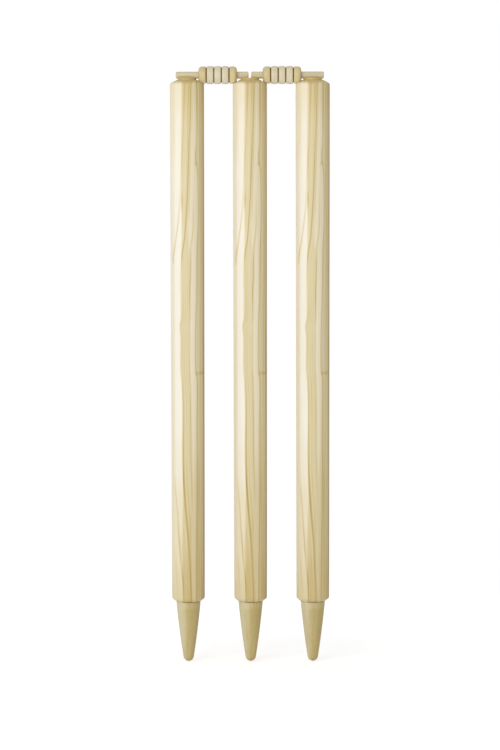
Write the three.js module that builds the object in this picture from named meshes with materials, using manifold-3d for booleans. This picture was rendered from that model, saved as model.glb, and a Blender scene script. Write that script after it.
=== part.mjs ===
// Cricket wicket: three wooden stumps set in the ground, with two beaded bails across their tops
// Millimetres, +Z up, +X along the wicket; the origin is on the middle stump's axis at the ground line
import * as THREE from 'three';
import { mergeVertices } from 'three/addons/utils/BufferGeometryUtils.js';
import Module from 'manifold-3d';

const wasm = await Module();
wasm.setup();

// Wicket
const stumpHeight = 711.2;
const stumpSpacing = 84.8;

// Stump shaft
const shaftTopDiameter = 46.2;
const shaftFootDiameter = 44.5;
const domeRise = 7.4;
const domeEdgeRound = 3.5;
const footChamferHeight = 4.6;

// Bail seat on top of the dome, with the groove that keeps a spigot from rolling off
const seatDiameter = 25;
const seatRise = 0.6;
const seatEdgeChamfer = 0.4;
const grooveDepth = 1.4;
const spigotClearance = 0.3;

// Stump point, let into the shaft's foot and held there by its tenon
const pointDiameter = 32.7;
const pointLength = 82.2;
const pointNoseRadius = 7.2;
const pointFlankRadius = 1300;
const pointCollarHeight = 2.6;
const tenonDiameter = 18;
const tenonLength = 34;
const tenonChamfer = 1.5;
const recessDepth = 1.2;
const jointClearance = 0.3;
const footRingWidth = 0.55;

// Bails: the barrel's faces stand off from the axes of the stumps that carry it
const outerStandoff = 15.45;
const innerStandoff = 17.35;
const spigotOverhang = 15.05;
const bailEndGap = 3.5;
const spigotDiameter = 9.4;
const spigotEndRound = 1.8;

// Beads that make up the barrel
const endBeadDiameter = 23.4;
const endBeadWidth = 10.6;
const endBeadShoulder = 4.8;
const middleBeadDiameter = 24.3;
const middleBeadCount = 3;
const beadGap = 0.3;
const beadEdgeRound = 2.3;
const boreClearance = 0.3;
const reliefClearance = 0.5;

// Facets round each kind of piece, and along its rounded edges
const shaftSides = 44;
const pointSides = 36;
const spigotSides = 24;
const beadSides = 28;
const domeSteps = 6;
const noseSteps = 5;
const flankSteps = 3;
const shoulderSteps = 4;
const edgeSteps = 3;

// Sizes that follow
const shaftTopRadius = shaftTopDiameter / 2;
const shaftFootRadius = shaftFootDiameter / 2;
const seatRadius = seatDiameter / 2;
const pointRadius = pointDiameter / 2;
const tenonRadius = tenonDiameter / 2;
const spigotRadius = spigotDiameter / 2;
const grooveRadius = spigotRadius + spigotClearance;
const bailAxisHeight = stumpHeight - grooveDepth + grooveRadius;
const barrelLength = stumpSpacing - outerStandoff - innerStandoff;
const beadSpace = barrelLength - 2 * endBeadWidth - (middleBeadCount + 1) * beadGap;
const middleBeadWidth = beadSpace / middleBeadCount;

// Points of a round corner of a profile, from one angle to another about its centre
function corner(centreX, centreY, radius, fromAngle, toAngle, steps) {
  const clockwise = toAngle < fromAngle;
  const curve = new THREE.EllipseCurve(centreX, centreY, radius, radius, fromAngle, toAngle, clockwise);
  return curve.getPoints(steps);
}

// A turned piece about the Z axis; its profile runs anticlockwise, as radius against height
function turned(profile, sides) {
  const geometry = new THREE.LatheGeometry(profile, sides);
  return geometry.rotateX(Math.PI / 2);
}

// A turned piece about the X axis
function turnedAlongX(profile, sides) {
  const geometry = new THREE.LatheGeometry(profile, sides);
  return geometry.rotateZ(-Math.PI / 2);
}

function at(radius, height) {
  return new THREE.Vector2(radius, height);
}

// Closed geometry to a solid that can be cut, and back
function solidOf(geometry) {
  const bare = geometry.clone();
  bare.deleteAttribute('normal');
  bare.deleteAttribute('uv');
  const merged = mergeVertices(bare);
  const vertProperties = new Float32Array(merged.attributes.position.array);
  const triVerts = new Uint32Array(merged.index.array);
  return new wasm.Manifold(new wasm.Mesh({ numProp: 3, vertProperties, triVerts }));
}

function geometryOf(solid) {
  const mesh = solid.getMesh();
  const geometry = new THREE.BufferGeometry();
  geometry.setAttribute('position', new THREE.BufferAttribute(mesh.vertProperties, mesh.numProp));
  geometry.setIndex(new THREE.BufferAttribute(mesh.triVerts, 1));
  geometry.computeVertexNormals();
  return geometry;
}

// Profile of a bead, a spindle or a cutter, along the bail: a bore of 0 closes it on the axis
function beadProfile(start, width, radius, bore, startRound, endRound) {
  const end = start + width;
  const startSteps = startRound < endBeadShoulder ? edgeSteps : shoulderSteps;
  const endSteps = endRound < endBeadShoulder ? edgeSteps : shoulderSteps;
  return [
    at(bore, start),
    ...corner(radius - startRound, start + startRound, startRound, -Math.PI / 2, 0, startSteps),
    ...corner(radius - endRound, end - endRound, endRound, 0, Math.PI / 2, endSteps),
    at(bore, end),
  ];
}

// Shaft: foot ring, chamfer, tapered side, rounded dome edge, dome, raised seat
function shaftProfile() {
  const apex = stumpHeight - seatRise;
  const domeRadius = (shaftTopRadius ** 2 + domeRise ** 2) / (2 * domeRise);
  const domeCentre = apex - domeRadius;
  const edgeAcross = shaftTopRadius - domeEdgeRound;
  const edgeHeight = domeCentre + Math.sqrt((domeRadius - domeEdgeRound) ** 2 - edgeAcross ** 2);
  const edgeAngle = Math.atan2(edgeHeight - domeCentre, edgeAcross);
  const seatAngle = Math.acos(seatRadius / domeRadius);
  const recessRadius = pointRadius + jointClearance;
  const socketRadius = tenonRadius + jointClearance;
  const socketTop = recessDepth + tenonLength;
  return [
    at(0, socketTop),
    at(socketRadius, socketTop),
    at(socketRadius, recessDepth),
    at(recessRadius, recessDepth),
    at(recessRadius, 0),
    at(recessRadius + footRingWidth, 0),
    at(shaftFootRadius, footChamferHeight),
    ...corner(edgeAcross, edgeHeight, domeEdgeRound, 0, edgeAngle, edgeSteps),
    ...corner(0, domeCentre, domeRadius, edgeAngle, seatAngle, domeSteps).slice(1),
    at(seatRadius, stumpHeight - seatEdgeChamfer),
    at(seatRadius - seatEdgeChamfer, stumpHeight),
    at(0, stumpHeight),
  ];
}

// Cutter for the groove across the seat, which follows the spigot
function grooveCutter() {
  const reach = seatRadius + spigotClearance;
  const profile = [at(0, -reach), at(grooveRadius, -reach), at(grooveRadius, reach), at(0, reach)];
  return solidOf(turnedAlongX(profile, shaftSides).translate(0, 0, bailAxisHeight));
}

// Cutter for the hollow in the dome's shoulder, which clears the end bead of a bail
function reliefCutter(side) {
  const start = Math.min(outerStandoff, innerStandoff) - reliefClearance;
  const radius = endBeadDiameter / 2 + reliefClearance;
  const shoulder = endBeadShoulder + reliefClearance;
  const profile = beadProfile(start, shaftTopDiameter, radius, 0, shoulder, shoulder);
  const turn = side < 0 ? Math.PI : 0;
  return solidOf(turnedAlongX(profile, beadSides).rotateZ(turn).translate(0, 0, bailAxisHeight));
}

const groovedShaft = solidOf(turned(shaftProfile(), shaftSides)).subtract(grooveCutter());

// A shaft with a hollow on each side where a bail lies
function shaftGeometry(bailSides) {
  return geometryOf(bailSides.reduce((shaft, side) => shaft.subtract(reliefCutter(side)), groovedShaft));
}

// Point: a round nose, a slightly bellied cone up to a short straight collar, and the tenon
function pointProfile() {
  const noseCentre = pointNoseRadius - pointLength;
  const collarBottom = -pointCollarHeight;
  const run = collarBottom - noseCentre;
  const spread = Math.hypot(run, pointRadius);
  // The flank's arc leaves the nose without a bend: its centre lies beyond the nose's, seen from where they meet
  const reach = pointFlankRadius - pointNoseRadius;
  const leanShare = (reach ** 2 + spread ** 2 - pointFlankRadius ** 2) / (2 * reach * spread);
  const noseEnd = Math.atan2(run, pointRadius) + Math.acos(leanShare) - Math.PI;
  const flankAcross = -reach * Math.cos(noseEnd);
  const flankHeight = noseCentre - reach * Math.sin(noseEnd);
  const flankEnd = Math.atan2(collarBottom - flankHeight, pointRadius - flankAcross);
  const shoulder = recessDepth - jointClearance;
  const tenonTop = shoulder + tenonLength;
  return [
    ...corner(0, noseCentre, pointNoseRadius, -Math.PI / 2, noseEnd, noseSteps),
    ...corner(flankAcross, flankHeight, pointFlankRadius, noseEnd, flankEnd, flankSteps).slice(1),
    at(pointRadius, shoulder),
    at(tenonRadius, shoulder),
    at(tenonRadius, tenonTop - tenonChamfer),
    at(tenonRadius - tenonChamfer, tenonTop),
    at(0, tenonTop),
  ];
}

const pointGeometry = turned(pointProfile(), pointSides);

// Woods, with the tints that the pieces show
const shaftWood = new THREE.MeshStandardMaterial({ color: 0xe2d5b0, roughness: 0.55, metalness: 0 });
const pointWood = new THREE.MeshStandardMaterial({ color: 0xc8b587, roughness: 0.6, metalness: 0 });
const spindleWood = new THREE.MeshStandardMaterial({ color: 0xcdbd97, roughness: 0.55, metalness: 0 });
const endBeadWood = new THREE.MeshStandardMaterial({ color: 0xd6c79a, roughness: 0.5, metalness: 0 });
const middleBeadWood = new THREE.MeshStandardMaterial({ color: 0xded4b8, roughness: 0.5, metalness: 0 });

function named(name, geometry, material) {
  const mesh = new THREE.Mesh(geometry, material);
  mesh.name = name;
  return mesh;
}

function stump(side, x, bailSides) {
  const group = new THREE.Group();
  group.add(named(`${side}_stump_shaft`, shaftGeometry(bailSides), shaftWood));
  group.add(named(`${side}_stump_point`, pointGeometry, pointWood));
  group.position.x = x;
  return group;
}

// Spindle of a bail: its short spigot starts beside the middle stump's axis, at bailEndGap / 2
function spindleGeometry() {
  const start = bailEndGap / 2;
  const length = stumpSpacing + spigotOverhang - start;
  return turnedAlongX(beadProfile(start, length, spigotRadius, 0, spigotEndRound, spigotEndRound), spigotSides);
}

function beadGeometry(start, width, diameter, startRound, endRound) {
  const bore = spigotRadius + boreClearance;
  const profile = beadProfile(start, width, diameter / 2, bore, startRound, endRound);
  return turnedAlongX([...profile, profile[0].clone()], beadSides);
}

// A bail reaches from the middle stump outwards; the left one is the same bail turned end for end
function bail(side, turn) {
  const group = new THREE.Group();
  group.add(named(`${side}_bail_spindle`, spindleGeometry(), spindleWood));
  const barrelStart = innerStandoff;
  const innerBead = beadGeometry(barrelStart, endBeadWidth, endBeadDiameter, endBeadShoulder, beadEdgeRound);
  group.add(named(`${side}_bail_inner_end_bead`, innerBead, endBeadWood));
  for (let count = 0; count < middleBeadCount; count += 1) {
    const start = barrelStart + endBeadWidth + beadGap + count * (middleBeadWidth + beadGap);
    const bead = beadGeometry(start, middleBeadWidth, middleBeadDiameter, beadEdgeRound, beadEdgeRound);
    group.add(named(`${side}_bail_middle_bead_${count + 1}`, bead, middleBeadWood));
  }
  const outerStart = barrelStart + barrelLength - endBeadWidth;
  const outerBead = beadGeometry(outerStart, endBeadWidth, endBeadDiameter, beadEdgeRound, endBeadShoulder);
  group.add(named(`${side}_bail_outer_end_bead`, outerBead, endBeadWood));
  group.position.z = bailAxisHeight;
  group.rotation.z = turn;
  return group;
}

const wicket = new THREE.Group();
wicket.add(stump('left', -stumpSpacing, [1]), stump('middle', 0, [-1, 1]), stump('right', stumpSpacing, [-1]));
wicket.add(bail('left', Math.PI), bail('right', 0));

export default wicket;
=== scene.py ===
"""Cricket wicket: three turned stumps with let-in points, and two beaded bails across their tops

Metres, +Z up, +X along the wicket. The origin is on the middle stump's axis at the ground line.
"""

import math

import bmesh
import bpy
from bpy.props import FloatProperty, FloatVectorProperty, IntProperty, PointerProperty
from mathutils import Matrix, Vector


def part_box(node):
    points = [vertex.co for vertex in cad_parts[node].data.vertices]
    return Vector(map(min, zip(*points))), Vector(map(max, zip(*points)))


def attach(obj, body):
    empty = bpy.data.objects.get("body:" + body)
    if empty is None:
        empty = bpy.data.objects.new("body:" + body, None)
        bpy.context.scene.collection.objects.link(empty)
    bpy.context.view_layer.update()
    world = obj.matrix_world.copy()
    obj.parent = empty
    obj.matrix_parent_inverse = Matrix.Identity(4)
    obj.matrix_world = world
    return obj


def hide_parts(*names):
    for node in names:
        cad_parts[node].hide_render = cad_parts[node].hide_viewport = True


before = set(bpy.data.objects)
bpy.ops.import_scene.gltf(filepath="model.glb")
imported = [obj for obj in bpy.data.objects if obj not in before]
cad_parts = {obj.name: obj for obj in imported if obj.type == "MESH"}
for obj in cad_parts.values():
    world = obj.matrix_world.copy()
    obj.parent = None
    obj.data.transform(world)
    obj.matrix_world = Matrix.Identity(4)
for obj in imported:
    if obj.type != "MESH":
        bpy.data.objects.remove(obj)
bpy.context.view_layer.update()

bl_info = {
    "name": "Cricket Wicket",
    "version": (1, 0, 0),
    "blender": (4, 5, 0),
    "location": "3D View > Sidebar > Wicket",
    "description": "Turned stumps and beaded bails in pale wood",
    "category": "Add Mesh",
}

WHITE = (1, 1, 1, 1)
STUMPS = ("left", "middle", "right")
BAIL_SIDES = {"left": (1,), "middle": (-1, 1), "right": (-1,)}
BAILS = ("left", "right")
BEADS = ("inner_end_bead", "middle_bead_1", "middle_bead_2", "middle_bead_3", "outer_end_bead")

# Boxes of the frame's own pieces, which the sizes start from
_, SHAFT_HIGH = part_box("middle_stump_shaft")
POINT_LOW, POINT_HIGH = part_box("middle_stump_point")
RIGHT_LOW, RIGHT_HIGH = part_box("right_stump_shaft")
SPINDLE_LOW, SPINDLE_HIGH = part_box("right_bail_spindle")
END_LOW, END_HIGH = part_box("right_bail_inner_end_bead")
MIDDLE_LOW, MIDDLE_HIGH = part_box("right_bail_middle_bead_1")
NEXT_LOW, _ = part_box("right_bail_middle_bead_2")

SPACING = (RIGHT_LOW.x + RIGHT_HIGH.x) / 2
BAIL_AXIS = (SPINDLE_LOW.z + SPINDLE_HIGH.z) / 2
FIRST_JOINT = (END_HIGH.x + MIDDLE_LOW.x) / 2
BEAD_PITCH = NEXT_LOW.x - MIDDLE_LOW.x

# Mesh finish
MERGE_DISTANCE = 1e-6
SHARP_ANGLE = math.radians(32)
UP = (0, 0, 1)
ROUNDING_STEPS = 5
DOME_EDGE_STEPS = 6
DOME_STEPS = 24
POINT_STEPS = 16
FEWEST_STEPS = 12

# Figures that the panel shows behind the point of a length
DECIMALS = 5

# How a linear colour follows from a screen's: a straight foot, and a power above it
LEVEL = 255
FOOT_END = 0.04045
FOOT_SLOPE = 12.92
OFFSET = 0.055
POWER = 2.4


def tint(red, green, blue):
    """A colour as it is seen on a screen, from 0 to 255, as the linear colour that Blender keeps"""
    shares = (channel / LEVEL for channel in (red, green, blue))
    return tuple(s / FOOT_SLOPE if s <= FOOT_END else ((s + OFFSET) / (1 + OFFSET)) ** POWER for s in shares)


def facets(part, default):
    """A number of facets"""
    return IntProperty(
        name="Steps", description=f"Facets round the {part}", default=default, min=FEWEST_STEPS
    )


def length(name, description, default):
    """A size, in metres"""
    return FloatProperty(
        name=name, description=description, default=default, min=0, unit="LENGTH", subtype="DISTANCE",
        precision=DECIMALS,
    )


def turn(name, description, degrees):
    """An angle, which the panel shows in degrees"""
    return FloatProperty(
        name=name, description=description, default=math.radians(degrees), unit="ROTATION", subtype="ANGLE"
    )


def colour(name, description, default):
    """A colour, in linear shares"""
    return FloatVectorProperty(
        name=name, description=description, default=default, size=3, min=0, max=1, subtype="COLOR"
    )


class ShaftSizes(bpy.types.PropertyGroup):
    """Sizes of a stump's shaft"""

    height: length("Height", "Ground line to the bail seat", SHAFT_HIGH.z)
    top_radius: length("Top radius", "Radius under the dome", SHAFT_HIGH.y)
    foot_radius: length("Foot radius", "Radius above the foot's chamfer", 0.02225)
    foot_chamfer: length("Foot chamfer", "Height of the chamfer round the foot", 0.0046)
    foot_ring: length("Foot ring", "Width of the flat ring round the point", 0.00015)
    dome_rise: length("Dome rise", "Height of the dome above its edge", 0.0074)
    dome_edge: length("Dome edge", "Radius of the rounded edge under the dome", 0.0035)
    seat_radius: length("Seat radius", "Radius of the raised bail seat", 0.0125)
    seat_rise: length("Seat rise", "Height of the bail seat above the dome", 0.0006)
    seat_edge: length("Seat edge", "Rounding of the bail seat", 0.0005)
    soft_edge: length("Soft edge", "Rounding of the foot's edges", 0.0015)
    clearance: length("Clearance", "Gap round the spigot", 0.0003)
    joint: length("Joint", "Gap round the point", 0.00005)
    relief: length("Relief", "Gap round an end bead, in the hollow that clears it", 0.0005)
    bead_reach: length("Bead reach", "Least distance from the axis to an end bead", 0.01545)
    recess: length("Recess", "Depth of the recess for the point", 0.0012)
    socket_top: length("Socket top", "Height of the socket for the tenon", 0.0352)
    steps: facets("shaft", 144)


class PointSizes(bpy.types.PropertyGroup):
    """Sizes of a stump's point"""

    radius: length("Radius", "Radius of the collar", POINT_HIGH.y)
    depth: length("Length", "Ground line to the tip", -POINT_LOW.z)
    nose: length("Nose", "Radius of the rounded tip", 0.0072)
    flank: length("Flank", "Radius of the slight belly between the tip and the collar", 1.3)
    collar: length("Collar", "Height of the straight collar", 0.0026)
    shoulder: length("Shoulder", "Height of the shoulder inside the recess", 0.0009)
    tenon: length("Tenon radius", "Radius of the tenon", 0.009)
    tenon_chamfer: length("Tenon chamfer", "Chamfer at the tenon's end", 0.0015)
    tenon_top: length("Tenon top", "Height of the tenon's end", POINT_HIGH.z)
    steps: facets("point", 112)


class BailSizes(bpy.types.PropertyGroup):
    """Sizes of a bail"""

    spigot: length("Spigot radius", "Radius of the spindle", (SPINDLE_HIGH.z - SPINDLE_LOW.z) / 2)
    spigot_edge: length("Spigot edge", "Rounding of the spindle's ends", 0.0018)
    end_bead: length("End bead radius", "Radius of the outermost beads", (END_HIGH.z - END_LOW.z) / 2)
    middle_bead: length(
        "Middle bead radius", "Radius of the beads between", (MIDDLE_HIGH.z - MIDDLE_LOW.z) / 2
    )
    shoulder: length("Shoulder", "Rounding of the barrel's outer corners", 0.0048)
    bead_edge: length("Bead edge", "Rounding of the other corners of the beads", 0.0028)
    bead_fill: length("Bead fill", "How far each bead reaches into the gap to the next", 0.00013)
    bore: length("Bore clearance", "Gap between a bead and the spindle", 0.0003)
    steps: facets("bail", 96)


class WoodTints(bpy.types.PropertyGroup):
    """Tints of the wood, from its palest growth to its darkest growth line"""

    cream: colour("Cream", "Palest early growth", tint(249, 244, 229))
    straw: colour("Straw", "Common tone of the shaft", tint(240, 228, 197))
    # Honey's warmer tone near the foot and the edges stands in part for painted shade
    honey: colour("Honey", "Warmer growth near the foot and the edges", tint(225, 210, 167))
    amber: colour("Amber", "Growth lines", tint(204, 180, 118))
    # Brown also colours the joints, where it is painted shade
    brown: colour("Brown", "Darkest growth, joints and pores", tint(150, 120, 66))
    gold: colour("Gold", "Small marks of resin on the points", tint(204, 174, 86))
    shaft_wash: colour("Shaft wash", "Colour laid over the shafts' wood", (1.0, 1.0, 1.0))
    point_wash: colour("Point wash", "Colour laid over the points' wood", (0.90, 0.93, 0.96))
    bail_wash: colour(
        "Bail wash", "Colour laid over the wood of spindles and middle beads", (0.86, 0.865, 0.87)
    )
    end_wash: colour("End bead wash", "Colour laid over the wood of the end beads", (0.92, 0.90, 0.82))


class StageSettings(bpy.types.PropertyGroup):
    """Camera, lamps and floor"""

    distance: length("Camera distance", "Camera to the wicket", 4.5)
    height: length("Camera height", "Camera above the ground line", 0.65)
    pitch: turn("Pitch", "How far the camera looks down", 4.331)
    roll: turn("Roll", "How far the camera leans to the left", -0.09)
    aside: FloatProperty(
        name="Camera aside", description="Camera to the right of the wicket", default=-0.0004, unit="LENGTH",
        subtype="DISTANCE", precision=DECIMALS,
    )
    lens: FloatProperty(name="Lens", description="Focal length in millimetres", default=159.55, min=1)
    lamp_distance: length("Lamp distance", "Key lamp to the wicket", 3.0)
    lamp_side: turn("Lamp side", "Turn of the key lamp to the left", 29)
    lamp_rise: turn("Lamp rise", "Height of the key lamp as an angle", 16)
    lamp_size: length("Lamp size", "Side of the square key lamp", 2.0)
    lamp_power: FloatProperty(
        name="Lamp power", description="Power of the key lamp", default=34.5, min=0, unit="POWER"
    )
    ambient: FloatProperty(
        name="Ambient", description="Strength of the light from all round", default=0.58, min=0
    )
    floor_tint: colour("Floor tint", "Colour of the floor", tint(252, 252, 252))
    floor_white: FloatProperty(
        name="Floor white", description="Share of plain white on the floor under the wicket",
        default=0.4, min=0, max=1,
    )
    floor_glow: FloatProperty(
        name="Floor glow", description="Strength of that white, which makes up what the lit floor lacks",
        default=1.55, min=0,
    )
    floor_near: length("Floor near", "How far from the wicket the share of plain white starts to grow", 0.12)
    floor_far: length("Floor far", "How far from the wicket the floor is plain white", 0.9)
    floor_size: length("Floor size", "Side of the square floor", 12.0)
    floor_gap: length("Floor gap", "Floor below the tips of the points", 0.0004)


# Outlines and solids


class Outline:
    """Half of a turned piece's section, drawn from point to point as radius against height"""

    def __init__(self, radius, height):
        self.mesh = bmesh.new()
        self.start = self.mesh.verts.new((radius, 0, height))
        self.tip = self.start
        self.corners = []

    def line(self, radius, height, rounding=0):
        """A straight edge to a point, whose corner may be rounded later"""
        made = bmesh.ops.extrude_vert_indiv(self.mesh, verts=[self.tip])
        self.tip = made["verts"][0]
        self.tip.co = (radius, 0, height)
        if rounding:
            self.corners.append((self.tip, rounding))
        return self

    def arc(self, radius, height, angle, steps):
        """An arc about a centre, anticlockwise where the angle is positive"""
        made = bmesh.ops.spin(
            self.mesh, geom=[self.tip], cent=(radius, 0, height), axis=(0, -1, 0), angle=angle, steps=steps
        )
        self.tip = next(item for item in made["geom_last"] if isinstance(item, bmesh.types.BMVert))
        return self

    def closed(self):
        """The outline of a ring, joined up on itself"""
        self.mesh.edges.new((self.tip, self.start))
        return self

    def turned(self, steps):
        """The solid that the outline sweeps about the Z axis"""
        mesh = self.mesh
        for corner, rounding in self.corners:
            bmesh.ops.bevel(
                mesh, geom=[corner], offset=rounding, offset_type="OFFSET", segments=ROUNDING_STEPS,
                profile=0.5, affect="VERTICES", material=-1,
            )
        bmesh.ops.spin(
            mesh, geom=mesh.verts[:] + mesh.edges[:], cent=(0, 0, 0), axis=UP, angle=math.tau, steps=steps,
            use_merge=True,
        )
        bmesh.ops.remove_doubles(mesh, verts=mesh.verts, dist=MERGE_DISTANCE)
        bmesh.ops.recalc_face_normals(mesh, faces=mesh.faces)
        return mesh


def lay_along_x(mesh, side=1):
    """Turns a solid about Z into one about the bails' axis; the left bail points the other way"""
    quarter = Matrix.Rotation(side * math.pi / 2, 3, "Y")
    bmesh.ops.rotate(mesh, cent=(0, 0, 0), matrix=quarter, verts=mesh.verts)
    bmesh.ops.translate(mesh, vec=(0, 0, BAIL_AXIS), verts=mesh.verts)
    return mesh


def object_of(mesh, name):
    """A new object that holds the mesh"""
    data = bpy.data.meshes.new(name)
    mesh.to_mesh(data)
    mesh.free()
    made = bpy.data.objects.new(name, data)
    bpy.context.scene.collection.objects.link(made)
    return made


def carved(mesh, cutters):
    """The solid less its cutters"""
    blank = object_of(mesh, "blank")
    tools = [object_of(cutter, "cutter") for cutter in cutters]
    for tool in tools:
        cut = blank.modifiers.new("cut", "BOOLEAN")
        cut.operation = "DIFFERENCE"
        cut.solver = "EXACT"
        cut.object = tool
    finished = blank.evaluated_get(bpy.context.evaluated_depsgraph_get())
    result = bmesh.new()
    result.from_mesh(finished.to_mesh())
    finished.to_mesh_clear()
    for used in [blank, *tools]:
        data = used.data
        bpy.data.objects.remove(used)
        bpy.data.meshes.remove(data)
    bmesh.ops.remove_doubles(result, verts=result.verts, dist=MERGE_DISTANCE)
    return result


def shade(mesh):
    """Smooth over gentle bends, crisp over sharp ones"""
    for face in mesh.faces:
        face.smooth = True
    for edge in mesh.edges:
        edge.smooth = len(edge.link_faces) == 2 and edge.calc_face_angle() < SHARP_ANGLE


def add_piece(mesh, name, wood, body):
    """Puts a finished solid in the place of the frame's node, on the node's body"""
    shade(mesh)
    piece = object_of(mesh, f"{name}_turned")
    piece.data.materials.append(wood)
    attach(piece, body)
    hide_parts(name)
    return piece


# Shader maths


def arithmetic(operation, reflected=False):
    """A Python operator that adds a Math node"""

    def method(self, other=0.0):
        first, second = (other, self) if reflected else (self, other)
        return self.node("ShaderNodeMath", {"operation": operation}, {"Value": first, "Value_001": second})

    return method


class Wire:
    """An output in a material's nodes; sums and products of it add Math nodes"""

    def __init__(self, tree, socket=None):
        self.tree = tree
        self.socket = socket

    def node(self, kind, settings, inputs, output=None):
        """Adds a node: first its settings, then the values or links of its sockets"""
        made = self.tree.nodes.new(kind)
        for name, value in settings.items():
            if name == "stops":
                fill_ramp(made.color_ramp, value)
            elif name == "points":
                fill_curve(made.mapping, value)
            else:
                setattr(made, name, value)
        sockets = {socket.identifier: socket for socket in made.inputs}
        for name, value in inputs.items():
            if isinstance(value, Wire):
                self.tree.links.new(value.socket, sockets[name])
            else:
                sockets[name].default_value = value
        outputs = {socket.identifier: socket for socket in made.outputs}
        first = next(iter(outputs), None)
        return Wire(self.tree, outputs.get(output or first))

    __add__ = arithmetic("ADD")
    __radd__ = arithmetic("ADD", reflected=True)
    __sub__ = arithmetic("SUBTRACT")
    __rsub__ = arithmetic("SUBTRACT", reflected=True)
    __mul__ = arithmetic("MULTIPLY")
    __rmul__ = arithmetic("MULTIPLY", reflected=True)
    __truediv__ = arithmetic("DIVIDE")
    __abs__ = arithmetic("ABSOLUTE")
    __round__ = arithmetic("ROUND")


def fill_ramp(ramp, stops):
    """Gives a colour ramp its stops, as place and colour or grey"""
    ramp.interpolation = "EASE"
    while len(ramp.elements) < len(stops):
        ramp.elements.new(1)
    for element, (place, value) in zip(ramp.elements, sorted(stops, key=lambda stop: stop[0])):
        grey = isinstance(value, (int, float))
        element.position = place
        element.color = (value, value, value, 1) if grey else (*value, 1)


def fill_curve(mapping, points):
    """Gives a float curve its points"""
    curve = mapping.curves[0]
    ends = sorted(points)
    curve.points[0].location = ends[0]
    curve.points[1].location = ends[-1]
    for place in ends[1:-1]:
        curve.points.new(*place)
    mapping.extend = "HORIZONTAL"
    mapping.update()


def ramp(value, stops):
    """Smooth from stop to stop"""
    return value.node("ShaderNodeValToRGB", {"stops": stops}, {"Fac": value})


def follow(value, path):
    """A float curve through the points of a path"""
    return value.node("ShaderNodeFloatCurve", {"points": path}, {"Value": value})


def larger(first, second):
    return first.node("ShaderNodeMath", {"operation": "MAXIMUM"}, {"Value": first, "Value_001": second})


def smaller(first, second):
    return first.node("ShaderNodeMath", {"operation": "MINIMUM"}, {"Value": first, "Value_001": second})


def folded(value, top):
    """Runs from 0 up to the top and back again, over and over"""
    return value.node("ShaderNodeMath", {"operation": "PINGPONG"}, {"Value": value, "Value_001": top})


def distance_from(first, second):
    """How far a place is from an axis, by its two ways across it"""
    return first.node("ShaderNodeMath", {"operation": "SQRT"}, {"Value": first * first + second * second})


def ramp_up(value, low, high):
    """0 below low, 1 above high, smooth between"""
    inputs = {"Value": value, "From Min": low, "From Max": high}
    return value.node("ShaderNodeMapRange", {"interpolation_type": "SMOOTHSTEP"}, inputs, "Result")


def ramp_down(value, low, high):
    """1 below low, 0 above high, smooth between"""
    return 1 - ramp_up(value, low, high)


def blend(first, second, share):
    """From the first number to the second, by share"""
    return first + (second - first) * share


# Wood in general. A tone runs from 0, the palest, to 1, the darkest, and each tint has a tone of its own
TINT_TONES = {"cream": 0.0, "straw": 0.3, "honey": 0.55, "amber": 0.8, "brown": 1.0}
NOISE_MEAN = 0.5
ROUGHNESS_SPREAD = 0.2
SPECULAR_LEVEL = 0.28
BUMP_STRENGTH = 0.6
BUMP_DEPTH = 0.0002
SPOT_CORE = 0.2


def streaks(place, scale, detail):
    """Noise drawn out along the grain, about 0; scale says how many patches fit in a metre each way"""
    mapped = place.node("ShaderNodeMapping", {}, {"Vector": place, "Scale": scale})
    noise = place.node("ShaderNodeTexNoise", {}, {"Vector": mapped, "Scale": 1.0, "Detail": detail}, "Fac")
    return noise - NOISE_MEAN


def spot(across, up, height, place, width, reach, depth):
    """A small golden mark, drawn out along the grain"""
    near = distance_from((across - place) / width, (up - height) / reach)
    return ramp_down(near, SPOT_CORE, 1.0) * depth


def new_wood(name):
    """A material, with the place of each point in it"""
    wood = bpy.data.materials.new(name)
    wood.use_nodes = True
    wood.node_tree.nodes.clear()
    place = Wire(wood.node_tree).node("ShaderNodeTexCoord", {}, {}, "Object")
    axes = [place.node("ShaderNodeSeparateXYZ", {}, {"Vector": place}, axis) for axis in "XYZ"]
    return wood, place, axes


def finish_wood(tone, wash, roughness, fibres, relief, gold=None):
    """Colour from the tone, a wash and a share of gold, gloss from the fibres, and the relief of the grain"""
    tints = bpy.context.scene.wood_tints
    stops = [(at, tuple(getattr(tints, name))) for name, at in TINT_TONES.items()]
    base = tone.node("ShaderNodeValToRGB", {"stops": stops}, {"Fac": tone}, "Color")
    laid = {"Factor_Float": 1.0, "A_Color": base, "B_Color": (*wash, 1)}
    base = tone.node("ShaderNodeMix", {"data_type": "RGBA", "blend_type": "MULTIPLY"}, laid, "Result_Color")
    if gold:
        marked = {"Factor_Float": gold, "A_Color": base, "B_Color": (*tints.gold, 1)}
        base = tone.node("ShaderNodeMix", {"data_type": "RGBA"}, marked, "Result_Color")
    heights = {"Strength": BUMP_STRENGTH, "Distance": BUMP_DEPTH, "Height": relief}
    bump = tone.node("ShaderNodeBump", {}, heights)
    dull = roughness + fibres * ROUGHNESS_SPREAD
    inputs = {"Base Color": base, "Roughness": dull, "Normal": bump, "Specular IOR Level": SPECULAR_LEVEL}
    surface = tone.node("ShaderNodeBsdfPrincipled", {}, inputs, "BSDF")
    tone.node("ShaderNodeOutputMaterial", {}, {"Surface": surface})


# Middle of a shaft's width, which runs from 0 on the left to 1 on the right
MIDDLE = 0.5

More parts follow.
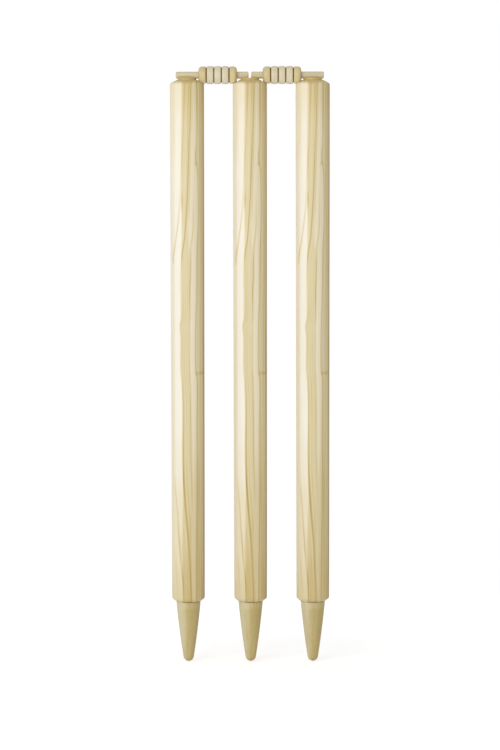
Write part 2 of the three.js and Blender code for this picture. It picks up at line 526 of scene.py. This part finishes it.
# Paths up a shaft. Each point is a height, as a share of the shaft's, and a place, as a share of its width
# from the left. The first six are growth lines, and the last two are edges of regions
HEART_LINE = [
    (0.02, 0.585), (0.05, 0.56), (0.08, 0.54), (0.115, 0.515), (0.16, 0.455), (0.20, 0.405), (0.24, 0.37),
    (0.29, 0.355), (0.345, 0.36), (0.38, 0.36), (0.41, 0.345), (0.43, 0.325), (0.446, 0.30), (0.46, 0.305),
    (0.51, 0.31), (0.528, 0.29), (0.546, 0.325), (0.63, 0.32), (0.66, 0.345), (0.70, 0.43), (0.73, 0.465),
    (0.79, 0.52), (0.83, 0.54), (0.89, 0.575), (0.95, 0.612), (0.99, 0.632),
]
SHOULDER_LINE = [
    (0.66, 0.085), (0.70, 0.178), (0.74, 0.255), (0.80, 0.31), (0.845, 0.34), (0.88, 0.39), (0.93, 0.412),
    (0.99, 0.43),
]
INNER_LINE = [
    (0.11, 0.685), (0.14, 0.668), (0.18, 0.643), (0.23, 0.62), (0.275, 0.60), (0.345, 0.595), (0.41, 0.582),
    (0.435, 0.568), (0.54, 0.576), (0.60, 0.578), (0.63, 0.60), (0.675, 0.60), (0.693, 0.63), (0.717, 0.675),
    (0.77, 0.68), (0.83, 0.685),
]
OUTER_LINE = [
    (0.0, 0.745), (0.06, 0.748), (0.12, 0.756), (0.27, 0.766), (0.33, 0.762), (0.43, 0.77), (0.44, 0.742),
    (0.54, 0.74), (0.58, 0.765), (0.63, 0.778), (0.67, 0.785), (0.71, 0.81), (0.75, 0.82), (0.80, 0.81),
    (0.83, 0.785), (0.845, 0.752), (0.88, 0.775), (0.93, 0.782), (0.99, 0.785),
]
FOOT_LINE = [
    (0.008, 0.367), (0.034, 0.355), (0.066, 0.306), (0.104, 0.257), (0.142, 0.22), (0.18, 0.185),
    (0.218, 0.135), (0.253, 0.11),
]
LEFT_FOOT_LINE = [(0.02, 0.185), (0.052, 0.153), (0.10, 0.122)]
HEART_EDGE = [
    (0, 0.34), (0.10, 0.33), (0.155, 0.345), (0.20, 0.355), (0.29, 0.35), (0.38, 0.36), (0.43, 0.33),
    (0.45, 0.305), (0.51, 0.31), (0.53, 0.29), (0.545, 0.325), (0.66, 0.325), (0.70, 0.335), (0.73, 0.34),
    (0.77, 0.33), (0.81, 0.33), (0.87, 0.33), (0.95, 0.345), (1, 0.35),
]
INNER_EDGE = [
    (0, 0.61), (0.06, 0.60), (0.12, 0.59), (0.155, 0.61), (0.24, 0.61), (0.33, 0.60), (0.434, 0.56),
    (0.54, 0.565), (0.63, 0.60), (0.67, 0.58), (0.70, 0.53), (0.76, 0.58), (0.89, 0.64), (1, 0.65),
]

# Tones of the five regions across a shaft, from the left strip to the outer side, by height; all are darker
# towards the foot and the top, and the outer side's darker tone near the foot is painted shade on the shaft's
# right side
LEFT_TONE = [(0, 0.50), (0.10, 0.36), (0.16, 0.31), (0.35, 0.24), (0.80, 0.19), (0.90, 0.24), (1, 0.37)]
PALE_TONE = [
    (0, 0.50), (0.10, 0.39), (0.16, 0.31), (0.27, 0.13), (0.36, 0.05), (0.80, 0.06), (0.9, 0.11), (1, 0.25),
]
HEART_TONE = [
    (0, 0.73), (0.06, 0.71), (0.115, 0.66), (0.19, 0.61), (0.35, 0.54), (0.80, 0.50), (0.885, 0.54),
    (1, 0.69),
]
INNER_TONE = [(0, 0.64), (0.06, 0.61), (0.115, 0.565), (0.19, 0.475), (0.35, 0.34), (0.88, 0.30), (1, 0.50)]
OUTER_TONE = [(0, 0.66), (0.16, 0.60), (0.35, 0.53), (0.6, 0.49), (0.88, 0.54), (1, 0.63)]

# Growth lines: each one's path, how much of it shows by height, its width, its fade to the right and its tone
GROWTH_LINES = [
    {
        "path": HEART_LINE, "width": 0.028, "fade": 0.07, "depth": 0.32,
        "presence": [
            (0, 0.4), (0.06, 0.55), (0.2, 0.9), (0.38, 1), (0.46, 0.6), (0.55, 0.9), (0.8, 0.75), (0.88, 0.5),
            (1, 0.42),
        ],
    },
    {
        "path": SHOULDER_LINE, "width": 0.022, "fade": 0.05, "depth": 0.43,
        "presence": [(0.64, 0), (0.655, 1), (0.73, 1), (0.8, 0.45), (0.87, 0.25), (1, 0.26)],
    },
    {
        "path": INNER_LINE, "width": 0.028, "fade": 0.05, "depth": 0.30,
        "presence": [(0.15, 0), (0.25, 0.5), (0.4, 0.9), (0.5, 0.65), (0.7, 0.8), (0.85, 0)],
    },
    {
        "path": OUTER_LINE, "width": 0.028, "fade": 0.06, "depth": 0.26,
        "presence": [(0, 0.5), (0.25, 0.6), (0.44, 1), (0.83, 0.8), (1, 1)],
    },
    {
        "path": FOOT_LINE, "width": 0.026, "fade": 0.05, "depth": 0.34,
        "presence": [(0, 0.3), (0.05, 0.55), (0.12, 0.9), (0.2, 0.8), (0.262, 0)],
    },
    {
        "path": LEFT_FOOT_LINE, "width": 0.026, "fade": 0.05, "depth": 0.20,
        "presence": [(0, 0.5), (0.06, 0.6), (0.12, 0)],
    },
]
CROSS_MARKS = [
    {"height": 0.838, "start": 0.68, "end": 0.82, "thickness": 0.006, "depth": 0.10},
    {"height": 0.440, "start": 0.73, "end": 1.02, "thickness": 0.006, "depth": 0.16},
]
HEART_MARK = {"height": 0.768, "place": 0.35, "width": 0.05, "reach": 0.03, "depth": 0.16}
LINE_CORE = 0.3
LINE_TAIL = 0.3
CROSS_FADE = 0.04
DARKEST_LINE = 0.86

# Regions across a shaft: the width of their blurred edges, and the left strip, which is wider near the top
HEART_BLUR = 0.03
INNER_BLUR = 0.04
OUTER_BLUR = 0.02
LEFT_STRIP = (0.10, 0.15)
STRIP_WIDENS = (0.80, 0.95)
STRIP_EXTRA = 0.03

# Layout round a shaft: how the pattern wavers, and how it turns and climbs towards the back
WAVER = 0.012
BACK_TURN = 0.42
BACK_CLIMB = 0.10
STUMP_CLIMB = 0.04
SIDE_FADE = 0.5

# Grain of a shaft, and how much of it is lost in pale wood, near the foot and near the top
WAVER_GRAIN = {"scale": (20, 20, 9), "detail": 1.0}
BROAD_GRAIN = {"scale": (240, 240, 3), "detail": 1.0}
THREAD_GRAIN = {"scale": (620, 620, 4), "detail": 2.0}
FIBRE_GRAIN = {"scale": (1500, 1500, 22), "detail": 3.0}
NEAR_FOOT = (0.10, 0.25)
NEAR_TOP = (0.86, 0.93)
BROAD = 0.16
BROAD_CALM = 0.10
THREADS = 0.50
THREAD_CALM = 0.30
FOOT_CALM = 0.8
TOP_CALM = 0.7
OUTER_THREADS = 0.30
OUTER_TOP_CALM = 0.15
FIBRES = 0.12
DRIFT_FROM = 0.45
DRIFT_FADE = (0.45, 0.75)

# Painted shade as a darker rim on a shaft's right side and as a dark ring round the point, a golden crown of
# darker end-grain wood and painted shade under the bails, painted light on a paler chamfer, and gloss
BROAD_RIM_SHADE = (0.83, 0.92)
BROAD_RIM_SHADE_TONE = 0.08
RIM_SHADE_INNER = (0.935, 0.958)
RIM_SHADE_OUTER = (0.988, 1.0)
RIM_SHADE_TONE = 0.34
RIM_SHADE_WEAKENS = (0.5, 0.95)
RIM_SHADE_LOSS = 0.20
DARKEST = 0.9
CROWN_SHADE_AND_GRAIN_START = 0.0080
CROWN_SHADE_AND_GRAIN_FULL = 0.0036
CROWN_SHADE_AND_GRAIN_TONE = 0.80
CHAMFER_LIGHT = (0.003, 0.0052)
CHAMFER_LIGHT_TONE = 0.08
RING_SHADE_NEAR = 0.0012
RING_SHADE_FAR = 0.0022
RING_SHADE_TONE = 0.34
SHAFT_ROUGHNESS = 0.52


def right_of(across, up, path, blur):
    """1 to the right of a path up the shaft, and 0 to its left"""
    return ramp_up(across - follow(up, path), -blur, blur)


def growth_line(across, up, path, presence, width, fade, depth):
    """A growth line: dark on its path, crisp on its left, and fading to its right over fade"""
    away = (across - follow(up, path)) / (2 * fade) + MIDDLE
    edge = width / (2 * fade)
    core = LINE_CORE * edge
    rise = [(MIDDLE - edge, 0), (MIDDLE - core, 1)]
    fall = [(MIDDLE + core, 1), (MIDDLE + edge, LINE_TAIL), (1, 0)]
    return ramp(away, rise + fall) * ramp(up, presence) * depth


def cross_line(across, up, height, start, end, thickness, depth):
    """A thin mark across the grain, at one height, from start to end"""
    near = ramp_down(abs(up - height), 0, thickness)
    begun = near * ramp_up(across, start, start + CROSS_FADE)
    return begun * ramp_down(across, end - CROSS_FADE, end) * depth


def shaft_growth(across, up, front):
    """The tone of a shaft's regions, lines and marks, and its shares of pale and of outer wood"""
    in_heart = right_of(across, up, HEART_EDGE, HEART_BLUR)
    in_outer = right_of(across, up, OUTER_LINE, OUTER_BLUR)
    past_strip = ramp_up(across - ramp_up(up, *STRIP_WIDENS) * STRIP_EXTRA, *LEFT_STRIP)
    tone = blend(ramp(up, LEFT_TONE), ramp(up, PALE_TONE), past_strip)
    tone = blend(tone, ramp(up, HEART_TONE), in_heart)
    tone = blend(tone, ramp(up, INNER_TONE), right_of(across, up, INNER_EDGE, INNER_BLUR))
    tone = blend(tone, ramp(up, OUTER_TONE), in_outer)
    for line in GROWTH_LINES:
        tone = tone + growth_line(across, up, **line)
    upper, lower = (cross_line(across, up, **mark) * front for mark in CROSS_MARKS)
    tone = smaller(tone + upper + spot(across, up, **HEART_MARK) + lower, DARKEST_LINE)
    return tone, past_strip * (1 - in_heart), in_outer


def shaft_wood():
    """Long growth lines that run up the shaft, the same on each stump"""
    scene = bpy.context.scene
    sizes, point = scene.shaft_sizes, scene.point_sizes
    width = 2 * sizes.top_radius
    wood, place, (x, y, z) = new_wood("shaft_wood")
    number = round(x / SPACING)
    local = x - number * SPACING
    behind = larger(y, 0.0) / sizes.top_radius
    waver = streaks(place, **WAVER_GRAIN) * WAVER
    across = folded(local / width + MIDDLE + behind * BACK_TURN + waver, 1.0)
    up = z / sizes.height + behind * (BACK_CLIMB + number * STUMP_CLIMB)
    front = ramp_down(y, -SIDE_FADE * sizes.top_radius, 0.0)
    tone, in_pale, in_outer = shaft_growth(across, up, front)

    near_top = ramp_up(up, *NEAR_TOP)
    near_foot = ramp_down(up, *NEAR_FOOT)
    broad = streaks(place, **BROAD_GRAIN) * (BROAD - larger(in_pale, near_top) * BROAD_CALM)
    drift = (follow(up, HEART_LINE) - DRIFT_FROM) * ramp_down(across, *DRIFT_FADE) * width
    flow = x.node("ShaderNodeCombineXYZ", {}, {"X": local - drift, "Y": y, "Z": z}, "Vector")
    threads = streaks(flow, **THREAD_GRAIN)
    fibres = streaks(place, **FIBRE_GRAIN)
    calm = larger(in_pale, larger(near_foot * FOOT_CALM, near_top * TOP_CALM))
    strength = THREADS - calm * THREAD_CALM + in_outer * (OUTER_THREADS - near_top * OUTER_TOP_CALM)

    # Painted shade: a darker rim on the shaft's right side, broad and faint, then thin and darker near the
    # edge
    thin_rim_shade = ramp_up(across, *RIM_SHADE_INNER) * ramp_down(across, *RIM_SHADE_OUTER)
    thin_rim_shade = thin_rim_shade * (RIM_SHADE_TONE - ramp_up(up, *RIM_SHADE_WEAKENS) * RIM_SHADE_LOSS)
    rim_shade = ramp_up(across, *BROAD_RIM_SHADE) * BROAD_RIM_SHADE_TONE + thin_rim_shade
    # Golden crown at the top: darker end-grain wood, and painted shade on the dome's top under the bails
    crown_shade_and_grain = ramp_up(z, sizes.height - CROWN_SHADE_AND_GRAIN_START, sizes.height - CROWN_SHADE_AND_GRAIN_FULL)
    # Painted light: the downward-facing chamfer at the foot is made paler
    chamfer = ramp_down(z, *CHAMFER_LIGHT) * CHAMFER_LIGHT_TONE
    # Painted shade: a dark ring in the joint round the point, under the shaft's foot
    near_point_shade = ramp_down(distance_from(local, y), point.radius + RING_SHADE_NEAR, point.radius + RING_SHADE_FAR)
    ring = near_point_shade * ramp_down(z, RING_SHADE_NEAR, RING_SHADE_FAR) * RING_SHADE_TONE
    tone = blend(smaller(tone + broad + rim_shade, DARKEST), CROWN_SHADE_AND_GRAIN_TONE, crown_shade_and_grain)
    tone = tone + threads * strength + fibres * FIBRES - chamfer + ring
    finish_wood(tone, scene.wood_tints.shaft_wash, SHAFT_ROUGHNESS, fibres, fibres + threads)
    return wood


# Wood of the points: grain, painted shade in the joint under the shaft, a paler collar, painted shade
# on the right side and golden marks
POINT_GRAIN = {"scale": (160, 160, 9), "detail": 2.0}
POINT_FIBRE_GRAIN = {"scale": (1300, 1300, 40), "detail": 3.0}
POINT_BASE = 0.58
POINT_BROAD = 0.30
POINT_FIBRES = 0.10
POINT_JOINT_SHADE = (-0.0009, -0.0001)
POINT_JOINT_SHADE_TONE = 0.20
POINT_COLLAR = (-0.012, -0.006)
POINT_COLLAR_TONE = 0.06
POINT_SHADE_SIDE = (-0.010, 0.001)
POINT_SHADE_SIDE_TONE = 0.20
POINT_MARKS = [
    {"height": -0.0117, "place": 0.0023, "width": 0.0020, "reach": 0.0042, "depth": 0.6},
    {"height": -0.0427, "place": -0.0011, "width": 0.0018, "reach": 0.0036, "depth": 0.8},
]
POINT_ROUGHNESS = 0.55


def point_wood():
    """Close, blurred grain, with small golden marks, painted shade in the joint and painted shade on the
    right side
    """
    wood, place, (x, y, z) = new_wood("point_wood")
    local = x - round(x / SPACING) * SPACING
    broad = streaks(place, **POINT_GRAIN) * POINT_BROAD
    fibres = streaks(place, **POINT_FIBRE_GRAIN)
    # Painted shade: darker at the top of the point, in the joint under the shaft
    joint = ramp_up(z, *POINT_JOINT_SHADE) * POINT_JOINT_SHADE_TONE
    collar = ramp_up(z, *POINT_COLLAR) * POINT_COLLAR_TONE
    # Painted shade: darker towards the point's right side, away from the key lamp
    right = ramp_up(local, *POINT_SHADE_SIDE) * POINT_SHADE_SIDE_TONE
    upper, lower = (spot(local, z, **mark) for mark in POINT_MARKS)
    tone = POINT_BASE + broad + fibres * POINT_FIBRES + joint - collar + right
    wash = bpy.context.scene.wood_tints.point_wash
    finish_wood(tone, wash, POINT_ROUGHNESS, fibres, fibres, upper + lower)
    return wood


# Wood of the bails: tone and grain of each piece, a darker core on its end faces, painted shade in the
# joints between the beads, and painted light on the underside
SPINDLE_BASE = 0.48
END_BEAD_BASE = 0.57
MIDDLE_BEAD_BASE = 0.33
SPINDLE_GRAIN = (30, 1300, 1300)
BEAD_GRAIN = (1300, 1300, 30)
BROAD_SHARE = 0.2
BAIL_BROAD = 0.34
BAIL_BROAD_DETAIL = 1.0
BAIL_FIBRES = 0.26
BAIL_FIBRE_DETAIL = 3.0
CORE_DEPTH = 0.004
SKIN_DEPTH = 0.0004
CORE_TONE = 0.15
JOINT_SPAN = (len(BEADS) - 2) * BEAD_PITCH
JOINT_SHADE_WIDTH = (0.0004, 0.0013)
JOINT_SHADE_NEAR = 0.002
JOINT_SHADE_FAR = 0.004
JOINT_SHADE_TONE = 0.7
UNDERSIDE_LIGHT_START = 0.1
UNDERSIDE_LIGHT_FULL = 0.85
UNDERSIDE_LIGHT_TONE = 0.16
BAIL_ROUGHNESS = 0.5


def bail_wood(name, wash, base, scale, radius, joints=0.0):
    """Grain of a bail's piece, drawn out by scale, with painted shade, of strength joints, where beads meet,
    and painted light on its underside
    """
    wood, place, (x, y, z) = new_wood(name)
    broad = streaks(place, tuple(BROAD_SHARE * s for s in scale), BAIL_BROAD_DETAIL) * BAIL_BROAD
    fibres = streaks(place, scale, BAIL_FIBRE_DETAIL)
    out = distance_from(y, z - BAIL_AXIS)
    core = ramp_down(out, radius - CORE_DEPTH, radius - SKIN_DEPTH) * CORE_TONE
    along = abs(x) - FIRST_JOINT
    begun = ramp_up(along, -JOINT_SHADE_FAR, -JOINT_SHADE_NEAR)
    within = begun * ramp_down(along, JOINT_SPAN + JOINT_SHADE_NEAR, JOINT_SPAN + JOINT_SHADE_FAR)
    # Painted shade: dark lines in the grooves where the beads meet
    line = ramp_down(folded(along, BEAD_PITCH / 2), *JOINT_SHADE_WIDTH) * within * joints
    # Painted light: the underside of each bail piece is made paler
    under = ramp_down(z, BAIL_AXIS - UNDERSIDE_LIGHT_FULL * radius, BAIL_AXIS - UNDERSIDE_LIGHT_START * radius) * UNDERSIDE_LIGHT_TONE
    tone = base + broad + fibres * BAIL_FIBRES + core + line - under
    finish_wood(tone, wash, BAIL_ROUGHNESS, fibres, fibres)
    return wood


# Pieces


class WICKET_OT_shafts(bpy.types.Operator):
    """Turns the three shafts: foot, tapered side, dome and raised seat, with the hollows for the bails"""

    bl_idname = "wicket.shafts"
    bl_label = "Add Shafts"

    def outline(self, sizes, point):
        recess_radius = point.radius + sizes.joint
        socket_radius = point.tenon + sizes.clearance
        apex = sizes.height - sizes.seat_rise
        dome_radius = (sizes.top_radius ** 2 + sizes.dome_rise ** 2) / (2 * sizes.dome_rise)
        centre = apex - dome_radius
        edge_across = sizes.top_radius - sizes.dome_edge
        edge_rise = math.sqrt((dome_radius - sizes.dome_edge) ** 2 - edge_across ** 2)
        edge_angle = math.atan2(edge_rise, edge_across)
        seat_angle = math.acos(sizes.seat_radius / dome_radius)
        outline = Outline(0, sizes.socket_top)
        outline.line(socket_radius, sizes.socket_top)
        outline.line(socket_radius, sizes.recess)
        outline.line(recess_radius, sizes.recess)
        outline.line(recess_radius, 0)
        outline.line(recess_radius + sizes.foot_ring, 0)
        outline.line(sizes.foot_radius, sizes.foot_chamfer, sizes.soft_edge)
        outline.line(sizes.top_radius, centre + edge_rise)
        outline.arc(edge_across, centre + edge_rise, edge_angle, DOME_EDGE_STEPS)
        outline.arc(0, centre, seat_angle - edge_angle, DOME_STEPS)
        outline.line(sizes.seat_radius, sizes.height, sizes.seat_edge)
        outline.line(0, sizes.height)
        return outline

    def groove_cutter(self, sizes, bail):
        reach = sizes.seat_radius + sizes.clearance
        radius = bail.spigot + sizes.clearance
        outline = Outline(0, -reach).line(radius, -reach).line(radius, reach).line(0, reach)
        return lay_along_x(outline.turned(sizes.steps))

    def relief_cutter(self, sizes, bail, side):
        start = sizes.bead_reach - sizes.relief
        radius = bail.end_bead + sizes.relief
        outline = Outline(0, start).line(radius, start, bail.shoulder + sizes.relief)
        outline.line(radius, start + sizes.top_radius).line(0, start + sizes.top_radius)
        return lay_along_x(outline.turned(sizes.steps), side)

    def execute(self, context):
        scene = context.scene
        sizes, bail = scene.shaft_sizes, scene.bail_sizes
        wood = shaft_wood()
        for number, side in enumerate(STUMPS):
            blank = self.outline(sizes, scene.point_sizes).turned(sizes.steps)
            cutters = [self.groove_cutter(sizes, bail)]
            cutters += [self.relief_cutter(sizes, bail, way) for way in BAIL_SIDES[side]]
            mesh = carved(blank, cutters)
            bmesh.ops.translate(mesh, vec=((number - 1) * SPACING, 0, 0), verts=mesh.verts)
            add_piece(mesh, f"{side}_stump_shaft", wood, f"{side}_stump")
        return {"FINISHED"}


class WICKET_OT_points(bpy.types.Operator):
    """Turns the three points: rounded nose, cone, collar and the tenon that holds it in the shaft"""

    bl_idname = "wicket.points"
    bl_label = "Add Points"

    def outline(self, sizes):
        nose_centre = sizes.nose - sizes.depth
        run = -sizes.collar - nose_centre
        spread = math.hypot(run, sizes.radius)
        reach = sizes.flank - sizes.nose
        lean = math.acos((reach ** 2 + spread ** 2 - sizes.flank ** 2) / (2 * reach * spread))
        nose_end = math.atan2(run, sizes.radius) + lean - math.pi
        flank_across = -reach * math.cos(nose_end)
        flank_height = nose_centre - reach * math.sin(nose_end)
        flank_end = math.atan2(-sizes.collar - flank_height, sizes.radius - flank_across)
        outline = Outline(0, -sizes.depth)
        outline.arc(0, nose_centre, math.pi / 2 + nose_end, POINT_STEPS)
        outline.arc(flank_across, flank_height, flank_end - nose_end, POINT_STEPS)
        outline.line(sizes.radius, sizes.shoulder)
        outline.line(sizes.tenon, sizes.shoulder)
        outline.line(sizes.tenon, sizes.tenon_top - sizes.tenon_chamfer)
        outline.line(sizes.tenon - sizes.tenon_chamfer, sizes.tenon_top)
        outline.line(0, sizes.tenon_top)
        return outline

    def execute(self, context):
        sizes = context.scene.point_sizes
        wood = point_wood()
        for number, side in enumerate(STUMPS):
            mesh = self.outline(sizes).turned(sizes.steps)
            bmesh.ops.translate(mesh, vec=((number - 1) * SPACING, 0, 0), verts=mesh.verts)
            add_piece(mesh, f"{side}_stump_point", wood, f"{side}_stump")
        return {"FINISHED"}


class WICKET_OT_spindles(bpy.types.Operator):
    """Turns the spindle of each bail, whose ends are its spigots"""

    bl_idname = "wicket.spindles"
    bl_label = "Add Spindles"

    def execute(self, context):
        sizes, tints = context.scene.bail_sizes, context.scene.wood_tints
        wood = bail_wood("spindle_wood", tints.bail_wash, SPINDLE_BASE, SPINDLE_GRAIN, sizes.spigot)
        for side in BAILS:
            low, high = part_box(f"{side}_bail_spindle")
            outline = Outline(0, low.x).line(sizes.spigot, low.x, sizes.spigot_edge)
            outline.line(sizes.spigot, high.x, sizes.spigot_edge).line(0, high.x)
            mesh = lay_along_x(outline.turned(sizes.steps))
            add_piece(mesh, f"{side}_bail_spindle", wood, f"{side}_bail")
        return {"FINISHED"}


class WICKET_OT_beads(bpy.types.Operator):
    """Turns the beads of each barrel: two with broad shoulders at its ends, and three between"""

    bl_idname = "wicket.beads"
    bl_label = "Add Beads"

    def execute(self, context):
        sizes, tints = context.scene.bail_sizes, context.scene.wood_tints
        end_wood = bail_wood(
            "end_bead_wood", tints.end_wash, END_BEAD_BASE, BEAD_GRAIN, sizes.end_bead, JOINT_SHADE_TONE
        )
        middle_wood = bail_wood(
            "middle_bead_wood", tints.bail_wash, MIDDLE_BEAD_BASE, BEAD_GRAIN, sizes.middle_bead, JOINT_SHADE_TONE
        )
        for side in BAILS:
            for bead in BEADS:
                low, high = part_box(f"{side}_bail_{bead}")
                at_end = "end" in bead
                radius = sizes.end_bead if at_end else sizes.middle_bead
                start, end = low.x - sizes.bead_fill, high.x + sizes.bead_fill
                low_round = high_round = sizes.bead_edge
                if at_end and (side == "left") == ("outer" in bead):
                    start, low_round = low.x, sizes.shoulder
                elif at_end:
                    end, high_round = high.x, sizes.shoulder
                outline = Outline(sizes.spigot + sizes.bore, start).line(radius, start, low_round)
                outline.line(radius, end, high_round).line(sizes.spigot + sizes.bore, end)
                mesh = lay_along_x(outline.closed().turned(sizes.steps))
                wood = end_wood if at_end else middle_wood
                add_piece(mesh, f"{side}_bail_{bead}", wood, f"{side}_bail")
        return {"FINISHED"}


class WICKET_OT_stage(bpy.types.Operator):
    """Sets the floor, the lamps and the camera"""

    bl_idname = "wicket.stage"
    bl_label = "Set Stage"

    def seen(self, wire):
        """1 for what the camera sees, straight or in gloss or glass"""
        kinds = ("Camera", "Glossy", "Transmission")
        rays = [wire.node("ShaderNodeLightPath", {}, {}, f"Is {kind} Ray") for kind in kinds]
        return larger(rays[0], larger(rays[1], rays[2]))

    def floor_paint(self, stage):
        """Pale floor that reads as white to the camera and keeps part of the shadow"""
        paint = bpy.data.materials.new("floor_paint")
        paint.use_nodes = True
        paint.node_tree.nodes.clear()
        wire = Wire(paint.node_tree)
        pale = (*stage.floor_tint, 1)
        plain = wire.node("ShaderNodeBsdfDiffuse", {}, {"Color": pale}, "BSDF")
        place = wire.node("ShaderNodeTexCoord", {}, {}, "Object")
        x, y = (place.node("ShaderNodeSeparateXYZ", {}, {"Vector": place}, axis) for axis in "XY")
        away = ramp_up(distance_from(x, y), stage.floor_near, stage.floor_far)
        share = away * (1 - stage.floor_white) + stage.floor_white
        strength = away * (1 - stage.floor_glow) + stage.floor_glow
        white = wire.node("ShaderNodeEmission", {}, {"Color": WHITE, "Strength": strength}, "Emission")
        kept = wire.node("ShaderNodeMixShader", {}, {"Fac": share, "Shader": plain, "Shader_001": white})
        shaders = {"Fac": self.seen(wire), "Shader": plain, "Shader_001": kept}
        both = wire.node("ShaderNodeMixShader", {}, shaders)
        wire.node("ShaderNodeOutputMaterial", {}, {"Surface": both})
        return paint

    def floor(self, stage):
        mesh = bmesh.new()
        bmesh.ops.create_grid(mesh, x_segments=1, y_segments=1, size=stage.floor_size / 2)
        bmesh.ops.translate(mesh, vec=(0, 0, POINT_LOW.z - stage.floor_gap), verts=mesh.verts)
        floor = object_of(mesh, "floor")
        floor.data.materials.append(self.floor_paint(stage))

    def world(self, stage):
        world = bpy.data.worlds.new("studio")
        world.use_nodes = True
        world.node_tree.nodes.clear()
        wire = Wire(world.node_tree)
        seen = self.seen(wire)
        strength = stage.ambient + seen * (1 - stage.ambient)
        light = wire.node("ShaderNodeBackground", {}, {"Color": WHITE, "Strength": strength}, "Background")
        wire.node("ShaderNodeOutputWorld", {}, {"Surface": light})
        bpy.context.scene.world = world

    def lamp(self, stage):
        data = bpy.data.lights.new("key_lamp", "AREA")
        data.size = stage.lamp_size
        data.energy = stage.lamp_power
        lamp = bpy.data.objects.new("key_lamp", data)
        aim = Matrix.Translation((0, 0, SHAFT_HIGH.z / 2))
        sideways = Matrix.Rotation(-stage.lamp_side, 4, "Z")
        upwards = Matrix.Rotation(math.pi / 2 - stage.lamp_rise, 4, "X")
        lamp.matrix_world = aim @ sideways @ upwards @ Matrix.Translation((0, 0, stage.lamp_distance))
        bpy.context.scene.collection.objects.link(lamp)

    def camera(self, stage):
        data = bpy.data.cameras.new("camera")
        data.lens = stage.lens
        data.clip_end = 2 * stage.floor_size
        camera = bpy.data.objects.new("camera", data)
        place = Matrix.Translation((stage.aside, -stage.distance, stage.height))
        aim = Matrix.Rotation(math.pi / 2 - stage.pitch, 4, "X")
        camera.matrix_world = place @ aim @ Matrix.Rotation(stage.roll, 4, "Z")
        bpy.context.scene.collection.objects.link(camera)
        bpy.context.scene.camera = camera

    def execute(self, context):
        stage = context.scene.stage_settings
        self.floor(stage)
        self.world(stage)
        self.lamp(stage)
        self.camera(stage)
        context.scene.view_settings.view_transform = "Standard"
        return {"FINISHED"}


class WICKET_PT_panel(bpy.types.Panel):
    """The operators, in the order in which they are used"""

    bl_idname = "WICKET_PT_panel"
    bl_label = "Cricket Wicket"
    bl_space_type = "VIEW_3D"
    bl_region_type = "UI"
    bl_category = "Wicket"

    def draw(self, context):
        for operator in OPERATORS:
            self.layout.operator(operator.bl_idname)


GROUPS = {
    "shaft_sizes": ShaftSizes,
    "point_sizes": PointSizes,
    "bail_sizes": BailSizes,
    "wood_tints": WoodTints,
    "stage_settings": StageSettings,
}
OPERATORS = (WICKET_OT_stage, WICKET_OT_shafts, WICKET_OT_points, WICKET_OT_spindles, WICKET_OT_beads)


def register():
    for made in (*GROUPS.values(), *OPERATORS, WICKET_PT_panel):
        bpy.utils.register_class(made)
    for name, group in GROUPS.items():
        setattr(bpy.types.Scene, name, PointerProperty(type=group))


def unregister():
    for name in GROUPS:
        delattr(bpy.types.Scene, name)
    for made in reversed((*GROUPS.values(), *OPERATORS, WICKET_PT_panel)):
        bpy.utils.unregister_class(made)


def main():
    register()
    bpy.ops.wicket.stage()
    bpy.ops.wicket.shafts()
    bpy.ops.wicket.points()
    bpy.ops.wicket.spindles()
    bpy.ops.wicket.beads()


if __name__ == "__main__":
    main()
